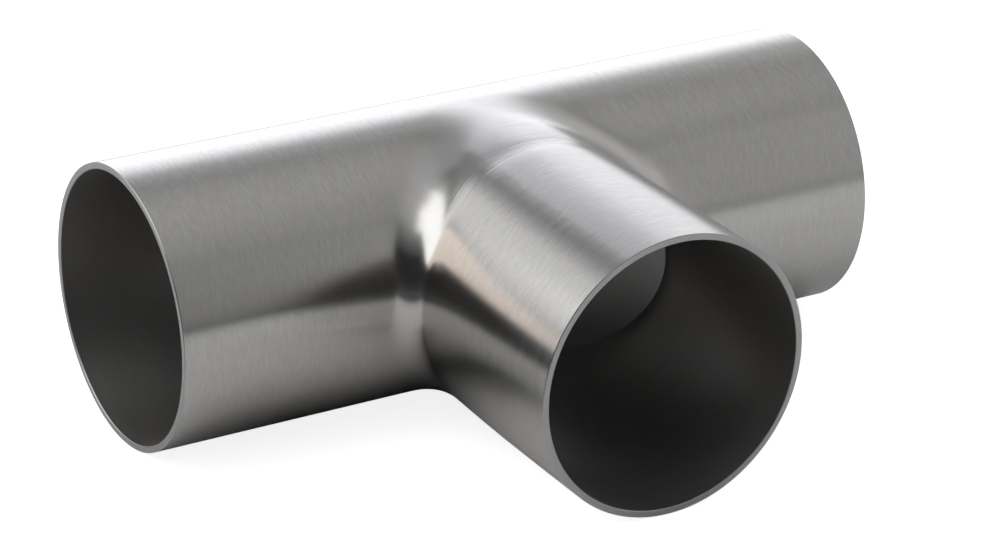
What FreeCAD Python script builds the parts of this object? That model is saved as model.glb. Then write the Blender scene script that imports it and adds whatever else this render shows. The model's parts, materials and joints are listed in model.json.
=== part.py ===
import FreeCAD, Part
import math
import os

# Weld tee: a straight run of thin tube lying along X, with an equal branch standing out along -Y.
# Z is up, and the origin is where the two axes cross. All sizes are in millimetres.

# driving dimensions
tube_outer_diameter = 51.0
wall = 1.2
run_centre_to_end = 69.0
branch_centre_to_end = 69.0
# radius outside, in the plane of the two axes, where each side of the branch turns into the run
crotch_radius = 3.8
# how far from the crossing each turn begins, along the top and bottom lines of both tubes
crown_reach = 6.5

# clearance by which a cutting shape reaches past what it cuts
cutter_past_part = 5.0

# sizes that follow
outer_radius = tube_outer_diameter / 2
bore_radius = outer_radius - wall

X_AXIS = FreeCAD.Vector(1, 0, 0)
Y_AXIS = FreeCAD.Vector(0, 1, 0)
CENTRE = FreeCAD.Vector(0, 0, 0)
HALF_TURN = 180

# quarter circle of radius 1 as a rational curve, from level to top: (outward, upward, weight)
QUARTER_CIRCLE = [(1, 0, 1), (1, 1, math.cos(math.pi / 4)), (0, 1, 1)]
QUARTER_CIRCLE_DEGREE = 2


def opening(edge, width, spread, depth, half_height):
    """Upright prism that starts at y = -edge, `width` to each side, and opens by `spread` per depth."""
    far_width = width + spread * depth
    far_edge = -edge - depth
    corners = [(-width, -edge), (-far_width, far_edge), (far_width, far_edge), (width, -edge)]
    if width == 0:
        corners.pop()
    outline = [FreeCAD.Vector(x, y, -half_height) for x, y in corners + corners[:1]]
    return Part.Face(Part.makePolygon(outline)).extrude(FreeCAD.Vector(0, 0, 2 * half_height))


def run_halves(radius, turn, past_end):
    """Straight run as a back half and a front half, the front less what the branch and its turns take up."""
    half_length = run_centre_to_end + past_end
    start = FreeCAD.Vector(-half_length, 0, 0)
    front = Part.makeCylinder(radius, 2 * half_length, start, X_AXIS, HALF_TURN)
    back = front.copy()
    back.rotate(CENTRE, X_AXIS, HALF_TURN)
    spread = (radius + turn - crown_reach) / radius
    past_wall = radius + cutter_past_part
    return [back, front.cut(opening(0, crown_reach, spread, past_wall, past_wall))]


def branch(radius, turn, past_end):
    """Branch, out from the two upright planes where its round wall ends and the turns begin."""
    reach = branch_centre_to_end + past_end
    tube = Part.makeCylinder(radius, reach, FreeCAD.Vector(0, -reach, 0), Y_AXIS)
    spread = radius / (radius + turn - crown_reach)
    return tube.common(opening(crown_reach, 0, spread, reach, radius + cutter_past_part))


def level_turn(near, far):
    """Poles of a level quarter circle about (far, -far), from y = -near on the run to x = near."""
    radius = far - near
    return [(far - radius * across, -far + radius * along) for across, along, weight in QUARTER_CIRCLE[::-1]]


def turn_surface(radius, turn, side, up):
    """Upper or lower half of a rounded turn from the run into the branch, tangent to both all the way.

    A level cut through it at any height is a quarter circle. Its radius is `turn` level with the axes,
    and grows or shrinks to `crown_reach` at the top and bottom lines of the tubes.
    """
    rows = [level_turn(radius, radius + turn)] * 2 + [level_turn(0, crown_reach)]
    poles = []
    weights = []
    for row, (outward, upward, row_weight) in zip(rows, QUARTER_CIRCLE):
        poles.append([FreeCAD.Vector(side * x, y, up * upward * radius) for x, y in row])
        weights.append([row_weight * weight for across, along, weight in QUARTER_CIRCLE])
    ends = [0, 1]
    whole = [QUARTER_CIRCLE_DEGREE + 1, QUARTER_CIRCLE_DEGREE + 1]
    surface = Part.BSplineSurface()
    surface.buildFromPolesMultsKnots(
        poles, whole, whole, ends, ends, False, False, QUARTER_CIRCLE_DEGREE, QUARTER_CIRCLE_DEGREE, weights
    )
    return surface


def upright(x, y, radius):
    """Upright line through the tube's full height at one place."""
    return Part.makeLine(FreeCAD.Vector(x, y, -radius), FreeCAD.Vector(x, y, radius))


def crossing(radius, turn):
    """Solid between the run and the branch: four turn surfaces, two flat crowns and upright planes."""
    skins = {(side, up): turn_surface(radius, turn, side, up) for side in (-1, 1) for up in (-1, 1)}
    faces = [skin.toShape() for skin in skins.values()]
    for side in (-1, 1):
        for border, x, y in ((0, side * crown_reach, 0), (1, 0, -crown_reach)):
            rim = [skins[side, up].vIso(border).toShape() for up in (-1, 1)]
            faces.append(Part.Face(Part.Wire(Part.sortEdges(rim + [upright(x, y, radius)])[0])))
    for up in (-1, 1):
        left = FreeCAD.Vector(-crown_reach, 0, up * radius)
        right = FreeCAD.Vector(crown_reach, 0, up * radius)
        rim = [skins[side, up].uIso(1).toShape() for side in (-1, 1)]
        faces.append(Part.Face(Part.Wire(Part.sortEdges(rim + [Part.makeLine(left, right)])[0])))
    corners = [(-1, -1), (1, -1), (1, 1), (-1, 1), (-1, -1)]
    back = [FreeCAD.Vector(side * crown_reach, 0, up * radius) for side, up in corners]
    faces.append(Part.Face(Part.makePolygon(back)))
    shell = Part.makeCompound(faces)
    shell.sewShape()
    solid = Part.Solid(shell.Shells[0])
    if solid.Volume < 0:
        solid.reverse()
    return solid


def tee_form(radius, turn, past_end):
    """Full round tee of one radius, filled: its outside, or the space inside it."""
    back, front = run_halves(radius, turn, past_end)
    return back.fuse([front, branch(radius, turn, past_end), crossing(radius, turn)])


def tee_body():
    """Tube wall of even thickness: the inside turns share their centres with the outside ones."""
    outside = tee_form(outer_radius, crotch_radius, 0)
    inside = tee_form(bore_radius, crotch_radius + wall, cutter_past_part)
    return outside.cut(inside).Solids[0]


os.makedirs("parts", exist_ok=True)
tee_body().exportStep("parts/tee_body.step")
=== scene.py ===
import json
import math

import bmesh
import bpy
import numpy as np
from mathutils import Matrix, Vector


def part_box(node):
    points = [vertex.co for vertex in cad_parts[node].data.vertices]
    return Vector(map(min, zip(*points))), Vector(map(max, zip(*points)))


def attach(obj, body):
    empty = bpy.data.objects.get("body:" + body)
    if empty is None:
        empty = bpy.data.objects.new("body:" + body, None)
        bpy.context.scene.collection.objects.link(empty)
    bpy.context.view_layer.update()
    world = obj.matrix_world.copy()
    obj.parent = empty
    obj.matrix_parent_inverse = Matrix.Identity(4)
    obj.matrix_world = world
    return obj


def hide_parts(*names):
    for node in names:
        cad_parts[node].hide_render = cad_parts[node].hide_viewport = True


# Looks of the weld tee, in metres. X runs along the run, the branch points to -Y, Z is up.
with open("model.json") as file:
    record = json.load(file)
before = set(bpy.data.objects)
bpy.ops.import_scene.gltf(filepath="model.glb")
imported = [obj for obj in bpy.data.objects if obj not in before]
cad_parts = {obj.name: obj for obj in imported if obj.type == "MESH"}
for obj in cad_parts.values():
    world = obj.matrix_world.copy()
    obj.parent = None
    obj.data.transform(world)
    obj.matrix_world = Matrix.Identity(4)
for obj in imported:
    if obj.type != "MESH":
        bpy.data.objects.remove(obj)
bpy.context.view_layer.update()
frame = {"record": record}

MM = 0.001
# points nearer than this are one point
SAME_POINT = 0.001 * MM
# least divisor, for points on an axis
TINY = 1e-9
UP = np.array([0, 0, 1])

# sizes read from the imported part
node_low, node_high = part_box("tee_body")
mounts = {mount["name"]: mount for mount in frame["record"]["mounts"]}
OUTER_RADIUS = node_high.z
BORE_RADIUS = mounts["run_bore"]["dims"]["r_mm"] * MM
WALL = OUTER_RADIUS - BORE_RADIUS
RUN_HALF = node_high.x
BRANCH_REACH = -node_low.y
# turns from the run into the branch, as the part has them: radius at the sides, reach at the crowns
CROTCH_RADIUS = 3.8 * MM
CROWN_REACH = 6.5 * MM

# broken edge of the cut rims
EDGE_BREAK = 0.12 * MM
# edges that turn more than this are seen as edges
SHARP_ANGLE = math.radians(30)

# weld round the branch: its centre line, as shares of the tube radius out from the crossing
SEAM_AT_CROWN = 0.90
SEAM_AT_SIDE = 1.20
SEAM_POWER = 3
# the weld pulls the wall in a little: a long waist at the sides, a short valley over the crown
WAIST_DEPTH = 0.55 * MM
WAIST_FADE = 13 * MM
WAIST_FADE_POWER = 1.5
WAIST_FADE_TO_RUN = 5 * MM
VALLEY_DEPTH = 0.16 * MM
VALLEY_FADE = 2.6 * MM
# how late the valley takes over from the waist towards the top and bottom lines
CROWN_POWER = 6

# how far the bend of each turn is eased into the tubes, except near the crowns
EASE_SPREAD = 1.3 * MM
EASE_REACH = 9 * MM
EASE_FROM_LEVEL = 0.3
# the upper turns are a little wider half way up
UPPER_SWELL = 1.2 * MM
# the bends and the weld are dressed smoother than the tubes, out to about this far
DRESSED_REACH = 5 * MM

# how finely the skins are divided
RUN_CROWDING = 1.5
STEPS_UP = 120
STEPS_RUN = 36
STEPS_BRANCH = 96
STEPS_TURN = 20
STEPS_CROWN = 10

# material slots, and the coordinates that the brushing follows
OUTSIDE, INSIDE, RIM = range(3)
BRUSHING = "brushing"


def grid(*parts):
    """Grid of points or coordinates from their parts, each a row, a column or a whole grid."""
    return np.stack(np.broadcast_arrays(*parts), -1)


def bell(distance, reach):
    """Falls from 1 at no distance to nearly nothing at twice the reach."""
    return np.exp(-((distance / reach) ** 2))


def run_shares():
    """Places along one arm of the run, 0 at its end and 1 at the turn, closer towards the turn."""
    return 1 - (1 - np.linspace(0, 1, STEPS_RUN + 1)) ** RUN_CROWDING


def ease_bend(points, first, last, level):
    """Lets the curvature of each row come and go slowly round its bend, as in dressed metal.

    Every point between the two columns and a little past them becomes the mean of its neighbours
    along the row, weighted by how near they are. Also returns how much each point belongs to the
    dressed bend.
    """
    steps = np.linalg.norm(np.diff(points, axis=1), axis=-1)
    along = np.concatenate([np.zeros((len(points), 1)), np.cumsum(steps, 1)], 1)
    spread = np.maximum(EASE_SPREAD * np.clip(level / EASE_FROM_LEVEL, 0, 1), SAME_POINT)
    weights = np.exp(-0.5 * ((along[:, :, None] - along[:, None, :]) / spread[:, :, None]) ** 2)
    weights *= np.gradient(along, axis=1)[:, None, :]
    eased = np.einsum("rij,rjk->rik", weights / weights.sum(-1, keepdims=True), points)
    start, end = along[:, [first]], along[:, [last]]
    past = np.maximum(np.maximum(start - along, along - end), 0)
    share = np.clip((EASE_REACH - past) / (EASE_REACH / 2), 0, 1) * (level > 0)
    return points + share[..., None] * (eased - points), bell(past, DRESSED_REACH)


def seam_distance(points):
    """How far out along the branch each point lies from the weld's centre line."""
    reach = np.maximum(np.hypot(points[..., 0], points[..., 2]), TINY)
    level = np.abs(points[..., 0]) / reach
    centre = SEAM_AT_CROWN + (SEAM_AT_SIDE - SEAM_AT_CROWN) * level**SEAM_POWER
    return -points[..., 1] - centre * OUTER_RADIUS


def pull_waist(points, share):
    """Moves points in towards the branch's axis by their share of the waist at the weld."""
    reach = np.maximum(np.hypot(points[..., 0], points[..., 2]), TINY)
    crown = (np.abs(points[..., 2]) / reach) ** CROWN_POWER
    away = seam_distance(points)
    fade_out = np.exp(-((np.maximum(away, 0) / WAIST_FADE) ** WAIST_FADE_POWER))
    fade = np.where(away > 0, fade_out, bell(away, WAIST_FADE_TO_RUN))
    waist = WAIST_DEPTH * (1 - crown) * fade
    valley = VALLEY_DEPTH * crown * bell(away, VALLEY_FADE)
    moved = points.copy()
    moved[..., [0, 2]] *= (1 - share * (waist + valley) / reach)[..., None]
    return moved


# Each patch is a grid of points, with how much each belongs to the branch and to the dressed weld,
# and its brushing coordinates in metres: along the tube, and round it.


def side_patch(radius, turn, side):
    """One side of a round tee: the front of the run, the rounded turn and that side of the branch.

    Rows go from the bottom line to the top line, columns from the run's end to the branch's end.
    """
    angle = np.linspace(-math.pi / 2, math.pi / 2, STEPS_UP + 1)[:, None]
    height = radius * np.sin(angle)
    level = np.cos(angle)
    level[[0, -1]] = 0
    setback = turn * level + CROWN_REACH * (1 - level)
    setback += UPPER_SWELL * np.sin(2 * np.maximum(angle, 0)) ** 2
    contact = radius * level + setback

    run_end = RUN_HALF - EDGE_BREAK
    run_x = run_end + run_shares()[None, :] * (contact - run_end)
    run = grid(side * run_x, -radius * level, height)

    bend = np.linspace(0, math.pi / 2, STEPS_TURN + 1)[None, 1:-1]
    turn_x = contact - setback * np.sin(bend)
    turn_y = -contact + setback * np.cos(bend)
    bent = grid(side * turn_x, turn_y, height)

    branch_end = BRANCH_REACH - EDGE_BREAK
    branch_y = -contact + np.linspace(0, 1, STEPS_BRANCH + 1)[None, :] * (contact - branch_end)
    branch = grid(side * radius * level, branch_y, height)

    points = np.concatenate([run, bent, branch], 1)
    points, dressed = ease_bend(points, STEPS_RUN, STEPS_RUN + STEPS_TURN, level)
    turned = np.sin(bend) ** 2 * np.ones_like(angle)
    on_branch = np.concatenate([np.zeros_like(run_x), turned, np.ones_like(branch_y)], 1)
    turn_end = -contact + math.pi / 2 * setback
    along = [-run_x, -contact + setback * bend, turn_end - contact - branch_y]
    coords = grid(np.concatenate(along, 1), radius * angle)
    return pull_waist(points, on_branch), on_branch, dressed, coords


def crown_patch(radius, side, up):
    """Half of the flat crown, from the crossing out to the edge of one turn."""
    bend = np.linspace(0, math.pi / 2, STEPS_TURN + 1)[:, None]
    reach = CROWN_REACH * np.linspace(0, 1, STEPS_CROWN + 1)[None, :]
    x = side * reach * (1 - np.sin(bend))
    y = reach * (np.cos(bend) - 1)
    on_branch = np.sin(bend) ** 2 * np.ones_like(reach)
    points = pull_waist(grid(x, y, up * radius), on_branch)
    return points, on_branch, np.ones_like(x), grid(reach * bend, -reach)


def back_patch(radius):
    """Back half of the run, from its top line round to its bottom line."""
    angle = np.linspace(math.pi / 2, 3 * math.pi / 2, STEPS_UP + 1)[:, None]
    height = radius * np.sin(angle)
    depth = -radius * np.cos(angle)
    depth[[0, -1]] = 0
    end = RUN_HALF - EDGE_BREAK
    arm = -end + run_shares() * (end - CROWN_REACH)
    crown = np.linspace(-CROWN_REACH, 0, STEPS_CROWN + 1)
    half = np.concatenate([arm, crown[1:]])
    x = np.concatenate([half, -half[-2::-1]])[None, :]
    past = np.maximum(np.abs(x) - CROWN_REACH, 0)
    dressed = (height > 0) * bell(past, DRESSED_REACH) * bell(depth, DRESSED_REACH)
    return grid(x, depth, height), np.zeros_like(dressed), dressed, grid(x, radius * angle)


def rim_patch(outward, reach):
    """Cut rim of one open end: a flat ring with a small broken edge outside and inside."""
    angle = np.linspace(-math.pi / 2, 3 * math.pi / 2, 2 * STEPS_UP + 1)[:, None]
    across = np.cross(UP, outward)
    around = np.sin(angle)[..., None] * UP - np.cos(angle)[..., None] * across
    inset = np.array([0, EDGE_BREAK, WALL - EDGE_BREAK, WALL])
    back = np.array([EDGE_BREAK, 0, 0, EDGE_BREAK])
    points = around * (OUTER_RADIUS - inset)[:, None] + outward * (reach - back)[:, None]
    none = np.zeros(points.shape[:2])
    return points, none, none, grid(inset, OUTER_RADIUS * angle)


class Skin:
    """Gathers patches into one mesh."""

    def __init__(self):
        self.points, self.on_branch, self.dressed, self.coords = [], [], [], []
        self.faces, self.slots = [], []
        self.count = 0

    def add(self, patch, slot, flip=False):
        points, on_branch, dressed, coords = patch
        rows, columns = points.shape[:2]
        index = self.count + np.arange(rows * columns).reshape(rows, columns)
        corners = [index[:-1, :-1], index[:-1, 1:], index[1:, 1:], index[1:, :-1]]
        quads = np.stack(corners, -1).reshape(-1, 4)
        self.faces.append(quads[:, ::-1] if flip else quads)
        self.slots.append(np.full(len(quads), slot))
        self.points.append(points.reshape(-1, 3))
        self.on_branch.append(on_branch.ravel())
        self.dressed.append(dressed.ravel())
        self.coords.append(coords.reshape(-1, 2))
        self.count += rows * columns

    def mesh(self, name):
        points = np.concatenate(self.points)
        faces = np.concatenate(self.faces)
        mesh = bpy.data.meshes.new(name)
        mesh.from_pydata(points.tolist(), [], faces.tolist())
        mesh.polygons.foreach_set("material_index", np.concatenate(self.slots))
        mesh.polygons.foreach_set("use_smooth", np.ones(len(faces), bool))
        layer = mesh.uv_layers.new(name=BRUSHING)
        layer.data.foreach_set("uv", np.concatenate(self.coords)[faces.ravel()].ravel())
        height = np.abs(points[:, 2]) / OUTER_RADIUS
        attributes = {
            "branch_share": np.concatenate(self.on_branch),
            "dressed": np.concatenate(self.dressed),
            "seam_distance": seam_distance(points) / MM,
            "crown": np.clip((height - CROWN_FROM) / (1 - CROWN_FROM), 0, 1),
        }
        for label, values in attributes.items():
            mesh.attributes.new(label, "FLOAT", "POINT").data.foreach_set("value", values)
        # patches share their border points, so that shading runs on from one to the next
        shape = bmesh.new()
        shape.from_mesh(mesh)
        bmesh.ops.remove_doubles(shape, verts=shape.verts, dist=SAME_POINT)
        for edge in shape.edges:
            edge.smooth = edge.calc_face_angle(0) < SHARP_ANGLE
        shape.to_mesh(mesh)
        shape.free()
        mesh.update()
        return mesh


def tee_mesh():
    """Tube wall as one closed mesh: its outside, its inside and the three rims between them."""
    skin = Skin()
    for radius, turn, slot, inside in (
        (OUTER_RADIUS, CROTCH_RADIUS, OUTSIDE, False),
        (BORE_RADIUS, CROTCH_RADIUS + WALL, INSIDE, True),
    ):
        for side in (-1, 1):
            skin.add(side_patch(radius, turn, side), slot, (side < 0) == inside)
            for up in (-1, 1):
                skin.add(crown_patch(radius, side, up), slot, (side * up > 0) != inside)
        skin.add(back_patch(radius), slot, inside)
    for outward, reach in (
        ((-1, 0, 0), RUN_HALF),
        ((1, 0, 0), RUN_HALF),
        ((0, -1, 0), BRANCH_REACH),
    ):
        skin.add(rim_patch(np.array(outward), reach), RIM)
    return skin.mesh("tee")


def feed(tree, socket, value):
    """Gives a socket the result of another one, or a value of its own."""
    if isinstance(value, bpy.types.NodeSocket):
        tree.links.new(value, socket)
    elif socket.type == "RGBA":
        socket.default_value = (*value, 1)
    else:
        socket.default_value = value


def link_math(tree, operation, *values):
    """Math node on sockets or numbers; gives its result socket."""
    node = tree.nodes.new("ShaderNodeMath")
    node.operation = operation
    for socket, value in zip(node.inputs, values):
        feed(tree, socket, value)
    return node.outputs["Value"]


def times(tree, first, second):
    """Product of sockets or numbers."""
    return link_math(tree, "MULTIPLY", first, second)


def smooth(tree, value, start, end, low=0.0, high=1.0):
    """Smooth change from low at start to high at end."""
    node = tree.nodes.new("ShaderNodeMapRange")
    node.interpolation_type = "SMOOTHSTEP"
    names = ("Value", "From Min", "From Max", "To Min", "To Max")
    for name, given in zip(names, (value, start, end, low, high)):
        feed(tree, node.inputs[name], given)
    return node.outputs["Result"]


def mix(tree, kind, factor, first, second):
    """Goes from first to second with the factor."""
    node = tree.nodes.new("ShaderNodeMix")
    node.data_type = kind
    for name, value in zip(("Factor", "A", "B"), (factor, first, second)):
        feed(tree, node.inputs[name], value)
    return node.outputs["Result"]


def blend(tree, factor, first, second):
    """Number that goes from first to second with the factor."""
    return mix(tree, "FLOAT", factor, first, second)


def mixed(tree, factor, first, second):
    """Colour that goes from first to second with the factor."""
    return mix(tree, "RGBA", factor, first, second)


def tinted(tree, level, colour):
    """Colour scaled by a level."""
    node = tree.nodes.new("ShaderNodeVectorMath")
    node.operation = "SCALE"
    feed(tree, node.inputs[0], colour)
    feed(tree, node.inputs["Scale"], level)
    return node.outputs["Vector"]


def grey(level):
    return (level, level, level)


def attribute(tree, name):
    node = tree.nodes.new("ShaderNodeAttribute")
    node.attribute_name = name
    return node.outputs["Fac"]


def separated(tree, vector):
    """X, Y and Z parts of a vector socket."""
    node = tree.nodes.new("ShaderNodeSeparateXYZ")
    feed(tree, node.inputs["Vector"], vector)
    return node.outputs


# noise of the brushing: how often it changes per metre across and along a line, and its shift
FINE_STREAKS = (3200, 450, 0.0)
BROAD_STREAKS = (700, 30, 3.7)
# share of the broad streaks in the brushing
BROAD_SHARE = 0.12
NOISE_DETAIL = 3
NOISE_ROUGHNESS = 0.6
# where the noise lies, and where its mean is
GRAIN_RANGE = (0.3, 0.7)
GRAIN_MEAN = 0.5
# share of the brushing that the dressed weld has lost
GRAIN_LOST = 0.7
# share by which the roughness changes with the broad streaks
ROUGHNESS_CHANGE = 0.05
# share of the branch at which its brushing takes over from the run's
BRUSHING_TURNS = (0.35, 0.65)

# fine lines left at both edges of the dressed weld, in mm from its centre line as the attribute is
SEAM_HALF_OUTSIDE = 1.4
SEAM_HALF_INSIDE = 0.65
SEAM_GROOVE_WIDTH = 0.3
SEAM_GROOVE = 0.012 * MM
# they come up from this share of the tube's height, and are full at this share of what is left
CROWN_FROM = 0.55
SEAM_FULL = 0.6

STEEL = (0.62, 0.612, 0.60)
# the inside is darker partly for its duller mill finish and partly as painted shade of the bore
STEEL_INSIDE = (0.35, 0.345, 0.34)
STEEL_RIM = (0.5, 0.495, 0.49)


def streaks(tree, across, along, shift):
    """Noise drawn out round each tube: run round X, branch round Y, one blended into the other."""
    place = tree.nodes.new("ShaderNodeTexCoord").outputs["Object"]
    found = []
    for scale in ((across, along, along), (along, across, along)):
        stretch = tree.nodes.new("ShaderNodeMapping")
        feed(tree, stretch.inputs["Scale"], scale)
        feed(tree, stretch.inputs["Location"], (shift, shift, shift))
        feed(tree, stretch.inputs["Vector"], place)
        noise = tree.nodes.new("ShaderNodeTexNoise")
        feed(tree, noise.inputs["Scale"], 1)
        feed(tree, noise.inputs["Detail"], NOISE_DETAIL)
        feed(tree, noise.inputs["Roughness"], NOISE_ROUGHNESS)
        feed(tree, noise.inputs["Vector"], stretch.outputs["Vector"])
        found.append(noise.outputs["Fac"])
    on_branch = smooth(tree, attribute(tree, "branch_share"), *BRUSHING_TURNS)
    return blend(tree, on_branch, *found)


def add_seam(material, half_width, at_side):
    """Puts the weld's two fine grooves into a steel, full over the crown and less at the sides."""
    tree = material.node_tree
    edge = link_math(tree, "ABSOLUTE", attribute(tree, "seam_distance"))
    edge = link_math(tree, "ABSOLUTE", link_math(tree, "SUBTRACT", edge, half_width))
    groove = tree.nodes.new("ShaderNodeBump")
    strength = smooth(tree, attribute(tree, "crown"), 0, SEAM_FULL, at_side, 1)
    feed(tree, groove.inputs["Strength"], strength)
    feed(tree, groove.inputs["Distance"], SEAM_GROOVE)
    feed(tree, groove.inputs["Height"], smooth(tree, edge, 0, SEAM_GROOVE_WIDTH))
    feed(tree, tree.nodes["Principled BSDF"].inputs["Normal"], groove.outputs["Normal"])


def steel(name, colour, roughness, anisotropy, tone, smoothing=0.0):
    """Steel with fine brushing round the tubes, which changes its colour by the tone.

    Smoothing is the share of its roughness that the dressed weld has lost.
    """
    material = bpy.data.materials.new(name)
    material.use_nodes = True
    tree = material.node_tree
    shader = tree.nodes["Principled BSDF"]
    feed(tree, shader.inputs["Metallic"], 1)
    feed(tree, shader.inputs["Anisotropic"], anisotropy)

    tangent = tree.nodes.new("ShaderNodeTangent")
    tangent.direction_type = "UV_MAP"
    tangent.uv_map = BRUSHING
    feed(tree, shader.inputs["Tangent"], tangent.outputs["Tangent"])

    dressed = attribute(tree, "dressed")
    broad = streaks(tree, *BROAD_STREAKS)
    grain = blend(tree, BROAD_SHARE, streaks(tree, *FINE_STREAKS), broad)
    grain = blend(tree, smooth(tree, dressed, 0, 1, 0, GRAIN_LOST), grain, GRAIN_MEAN)
    light = smooth(tree, grain, *GRAIN_RANGE, 1 - tone, 1 + tone)
    feed(tree, shader.inputs["Base Color"], tinted(tree, light, colour))
    least, most = roughness * (1 - ROUGHNESS_CHANGE), roughness * (1 + ROUGHNESS_CHANGE)
    rough = smooth(tree, broad, *GRAIN_RANGE, least, most)
    rough = times(tree, rough, smooth(tree, dressed, 0, 1, 1, 1 - smoothing))
    feed(tree, shader.inputs["Roughness"], rough)
    return material


def build_tee():
    outside = steel(
        "steel_outside", STEEL, roughness=0.22, anisotropy=0.8, tone=0.06, smoothing=0.2
    )
    add_seam(outside, SEAM_HALF_OUTSIDE, at_side=0.0)
    inside = steel(
        "steel_inside", STEEL_INSIDE, roughness=0.5, anisotropy=0.3, tone=0.03, smoothing=0.1
    )
    add_seam(inside, SEAM_HALF_INSIDE, at_side=0.8)
    rim = steel("steel_rim", STEEL_RIM, roughness=0.35, anisotropy=0.0, tone=0.04)
    mesh = tee_mesh()
    for material in (outside, inside, rim):
        mesh.materials.append(material)
    tee = bpy.data.objects.new("tee", mesh)
    bpy.context.scene.collection.objects.link(tee)
    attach(tee, "root")
    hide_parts("tee_body")


# studio levels, where 1 is white
WHITE = 1.0
FLOOR_ALBEDO = 0.95
# darker floor colour that paints the shade of the far floor, seen only in the steel
FLOOR_FAR_PAINTED_SHADE = 0.14
# darker floor colour that paints the shade close under the run, seen only in the steel
FLOOR_UNDER_PAINTED_SHADE = 0.35
FLOOR_GLOW = 0.85
BEHIND_GLOW = 1.1
FLOOR_ROUGHNESS = 0.9
# half of the floor's width
FLOOR_HALF = 3.0
# the way to the floor's painted dark far part, in front and to the left, and how far out it begins
# and ends
FAR_X = 0.8
FAR_Y = -0.6
FAR_BETWEEN = (0.10, 0.24)
# painted shade close under the run, seen only in the steel: distances from the middle from which it
# comes and at which it is full
UNDER_X = (0.068, 0.038)
UNDER_Y = (0.026, 0.008)
# places between which the floor behind the part begins to glow
BEHIND_X = (-0.35, -0.05)
BEHIND_Y = (0.08, 0.6)


def floor_material():
    """Nearly white to the camera, with the part's shadow; to the steel it shows painted shade far
    off and under the run.
    """
    material = bpy.data.materials.new("floor")
    material.use_nodes = True
    tree = material.node_tree
    shader = tree.nodes["Principled BSDF"]
    feed(tree, shader.inputs["Roughness"], FLOOR_ROUGHNESS)
    feed(tree, shader.inputs["Specular IOR Level"], 0)
    place = tree.nodes.new("ShaderNodeNewGeometry").outputs["Position"]
    x, y, _ = separated(tree, place)
    path = tree.nodes.new("ShaderNodeLightPath")
    reflected = path.outputs["Is Glossy Ray"]
    # painted shade: to the steel the floor falls away into the dark far in front and to the left,
    # out of the picture
    away = link_math(tree, "SUBTRACT", times(tree, y, FAR_Y), times(tree, x, FAR_X))
    far = times(tree, smooth(tree, away, *FAR_BETWEEN), reflected)
    albedo = mixed(tree, far, grey(FLOOR_ALBEDO), grey(FLOOR_FAR_PAINTED_SHADE))
    # and has painted shade close under the run: a darker colour that only the steel sees
    under_y = smooth(tree, link_math(tree, "ABSOLUTE", y), *UNDER_Y)
    under_x = smooth(tree, link_math(tree, "ABSOLUTE", x), *UNDER_X)
    under = times(tree, times(tree, under_y, under_x), reflected)
    albedo = mixed(tree, under, albedo, grey(FLOOR_UNDER_PAINTED_SHADE))
    feed(tree, shader.inputs["Base Color"], albedo)
    # the sweep grows white behind the part
    behind = smooth(tree, y, *BEHIND_Y, 0.0, BEHIND_GLOW)
    behind = times(tree, behind, smooth(tree, x, *BEHIND_X))
    glow = blend(tree, path.outputs["Is Camera Ray"], times(tree, reflected, behind), FLOOR_GLOW)
    feed(tree, shader.inputs["Emission Color"], grey(WHITE))
    feed(tree, shader.inputs["Emission Strength"], glow)
    return material


def build_floor():
    mesh = bpy.data.meshes.new("floor")
    ends = ((-1, -1), (1, -1), (1, 1), (-1, 1))
    corners = [(side * FLOOR_HALF, way * FLOOR_HALF, -OUTER_RADIUS) for side, way in ends]
    mesh.from_pydata(corners, [], [(0, 1, 2, 3)])
    mesh.materials.append(floor_material())
    floor = bpy.data.objects.new("floor", mesh)
    bpy.context.scene.collection.objects.link(floor)


# levels of the studio walls from the floor line up, by the sine of the height angle
SIDE_WALL = (
    (0.0, 0.4), (0.3, 0.52), (0.5, 0.6), (0.65, 0.48), (0.78, 0.29), (0.88, 0.4), (1.0, 0.48),
)
FRONT_RIGHT_WALL = (
    (0.0, 0.34), (0.15, 0.44), (0.4, 0.42), (0.55, 0.36), (0.7, 0.28), (0.88, 0.42), (1.0, 0.48),
)
FRONT_WALL = (
    (0.0, 0.05), (0.2, 0.03), (0.5, 0.03), (0.6, 0.09), (0.68, 0.15), (0.76, 0.25), (0.88, 0.42),
    (1.0, 0.5),
)
BACKDROP = (
    (0.0, 1.65), (0.3, 1.6), (0.4, 1.4), (0.5, 1.08), (0.6, 0.62), (0.68, 0.37), (0.85, 0.38),
    (1.0, 0.5),
)
LEFT_PANEL = (
    (0.0, 0.12), (0.13, 0.5), (0.25, 0.5), (0.36, 0.74), (0.46, 1.05), (0.59, 0.98),
    (0.635, 0.21), (0.82, 0.2), (1.0, 0.56),
)
# brightest level a ramp can give
RAMP_TOP = 2.0

# Headings are degrees round from straight behind the part, right being positive.
# One wall goes over into the next between these.
SIDE_TO_CORNER = (125, 145)
CORNER_TO_FRONT = (152, 166)
FRONT_TO_PANEL = (-66, -48)
BACKDROP_TO_PANEL = (-6, -14)
SIDE_TO_BACKDROP = (56, 38)
# the backdrop's right edge leans left by this much at full height
BACKDROP_LEAN = 22
BACKDROP_TINT = (0.97, 0.985, 1.03)
# the panel's levels lie lower by this much towards its left end
PANEL_SINKS = (-22, -36)
PANEL_SINK = 0.07
# dark gap between the backdrop and the panel: its level, its top, its half width, and how far left
# it lies above and below its bend
GAP_LEVEL = 0.08
GAP_TOP = (0.72, 0.6)
GAP_HALF_WIDTH = (7.5, 3.5)
GAP_BEND = (0.56, 0.5)
GAP_LEFT = (1, 4)

# soft light on the left: headings of its ends, and its top
SOFTBOX_LEFT_END = (-152, -105)
SOFTBOX_RIGHT_END = (-38, -50)
SOFTBOX_TOP = (1.0, 0.92)
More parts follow.
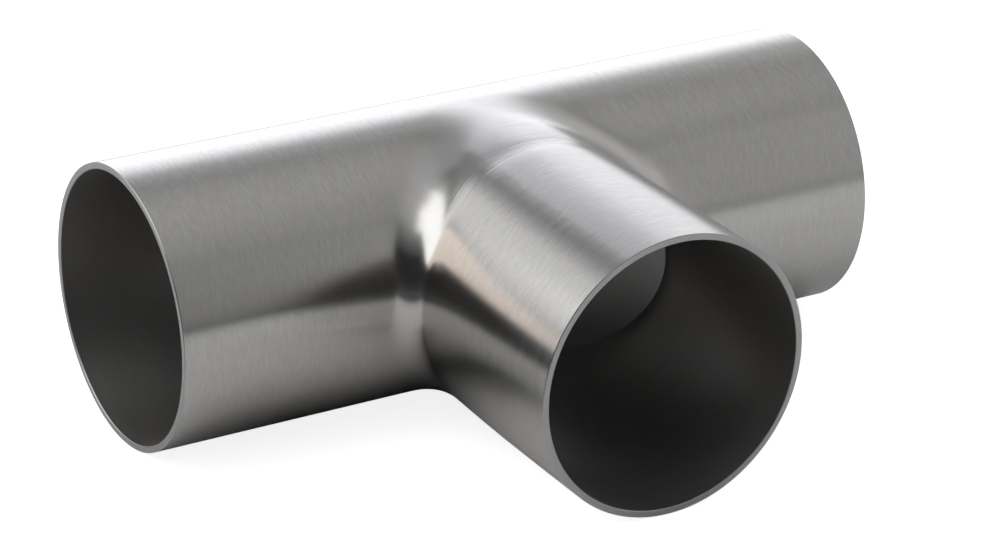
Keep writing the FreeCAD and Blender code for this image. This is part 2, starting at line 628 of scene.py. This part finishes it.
# its lower edge, and the headings over which that rises, by how much, towards the front
SOFTBOX_EDGE = (0.26, 0.36)
SOFTBOX_RISES = (-78, -118)
SOFTBOX_RISE = 0.5
SOFTBOX_GLOW = (1.6, 1.6, 1.6)
# the same for steel seen in steel: a lower edge, an end further round, and a warmer light
TWICE_RISE = 0.36
TWICE_FURTHER = 20
TWICE_GLOW = (1.68, 1.5, 1.36)
# ray depths, at the world, of light that the steel has turned once and twice
ONCE_TO_TWICE = (2, 3)


def ramp(tree, value, stops):
    """Level that follows the stops, given as places and levels."""
    node = tree.nodes.new("ShaderNodeValToRGB")
    node.color_ramp.interpolation = "EASE"
    marks = node.color_ramp.elements
    # new marks start in the middle, and then go to their places
    while len(marks) < len(stops):
        marks.new(0.5)
    for mark, (place, level) in zip(marks, stops):
        mark.position = place
        mark.color = (*grey(level / RAMP_TOP), 1)
    feed(tree, node.inputs["Fac"], value)
    return times(tree, node.outputs["Color"], RAMP_TOP)


def studio_walls(tree, heading, z):
    """Light of the walls, the backdrop and the left panel with the gap between them."""
    front = ramp(tree, z, FRONT_WALL)
    corner = ramp(tree, z, FRONT_RIGHT_WALL)
    side = ramp(tree, z, SIDE_WALL)
    past_front = smooth(tree, heading, *FRONT_TO_PANEL)
    level = blend(tree, smooth(tree, heading, *SIDE_TO_CORNER), side, corner)
    level = blend(tree, smooth(tree, heading, *CORNER_TO_FRONT), level, front)
    level = blend(tree, past_front, front, level)

    backdrop = tinted(tree, ramp(tree, z, BACKDROP), BACKDROP_TINT)
    edge = link_math(tree, "ADD", heading, times(tree, z, BACKDROP_LEAN))
    behind = times(tree, smooth(tree, edge, *SIDE_TO_BACKDROP), past_front)
    level = mixed(tree, behind, level, backdrop)

    sunk = link_math(tree, "ADD", z, smooth(tree, heading, *PANEL_SINKS, 0.0, PANEL_SINK))
    left = times(tree, smooth(tree, heading, *BACKDROP_TO_PANEL), past_front)
    level = mixed(tree, left, level, ramp(tree, sunk, LEFT_PANEL))

    from_gap = link_math(tree, "ADD", heading, smooth(tree, z, *GAP_BEND, *GAP_LEFT))
    gap = smooth(tree, link_math(tree, "ABSOLUTE", from_gap), *GAP_HALF_WIDTH)
    gap = times(tree, gap, smooth(tree, z, *GAP_TOP))
    return mixed(tree, gap, level, grey(GAP_LEVEL))


def add_softbox(tree, level, heading, z, path):
    """Lays the soft light over the walls."""
    twice = smooth(tree, path.outputs["Ray Depth"], *ONCE_TO_TWICE)
    twice = times(tree, twice, path.outputs["Is Glossy Ray"])
    rise = blend(tree, twice, SOFTBOX_RISE, TWICE_RISE)
    rise = smooth(tree, heading, *SOFTBOX_RISES, 0.0, rise)
    over = smooth(tree, link_math(tree, "SUBTRACT", z, rise), *SOFTBOX_EDGE)
    end = link_math(tree, "ADD", heading, times(tree, twice, TWICE_FURTHER))
    end = smooth(tree, end, *SOFTBOX_LEFT_END)
    across = times(tree, end, smooth(tree, heading, *SOFTBOX_RIGHT_END))
    softbox = times(tree, across, times(tree, over, smooth(tree, z, *SOFTBOX_TOP)))
    return mixed(tree, softbox, level, mixed(tree, twice, SOFTBOX_GLOW, TWICE_GLOW))


def build_world():
    world = bpy.data.worlds.new("studio")
    world.use_nodes = True
    tree = world.node_tree
    direction = tree.nodes.new("ShaderNodeTexCoord").outputs["Generated"]
    x, y, z = separated(tree, direction)
    heading = times(tree, link_math(tree, "ARCTAN2", x, y), 180 / math.pi)
    path = tree.nodes.new("ShaderNodeLightPath")
    level = add_softbox(tree, studio_walls(tree, heading, z), heading, z, path)
    seen = mixed(tree, path.outputs["Is Camera Ray"], level, grey(WHITE))
    feed(tree, tree.nodes["Background"].inputs["Color"], seen)
    # the rays find the light by themselves, because a map of it would miss what depends on the ray
    world.cycles.sampling_method = "NONE"
    bpy.context.scene.world = world


# camera fitted to the photograph's outlines
CAMERA_PLACE = Vector((-325.4, -562.7, 282.6)) * MM
CAMERA_AIM = Vector((3.37, -5.70, -7.13)) * MM
CAMERA_ROLL = math.radians(-0.80)
CAMERA_LENS = 141.93
CAMERA_CLIP = (0.01, 20)
SENSOR_WIDTH = 36


def build_camera():
    data = bpy.data.cameras.new("camera")
    data.lens = CAMERA_LENS
    data.sensor_width = SENSOR_WIDTH
    data.sensor_fit = "HORIZONTAL"
    data.clip_start, data.clip_end = CAMERA_CLIP
    camera = bpy.data.objects.new("camera", data)
    bpy.context.scene.collection.objects.link(camera)
    turn = (CAMERA_AIM - CAMERA_PLACE).to_track_quat("-Z", "Y").to_matrix().to_4x4()
    roll = Matrix.Rotation(-CAMERA_ROLL, 4, "Z")
    camera.matrix_world = Matrix.Translation(CAMERA_PLACE) @ turn @ roll
    bpy.context.scene.camera = camera


bpy.context.scene.view_settings.view_transform = "Standard"
build_tee()
build_floor()
build_world()
build_camera()
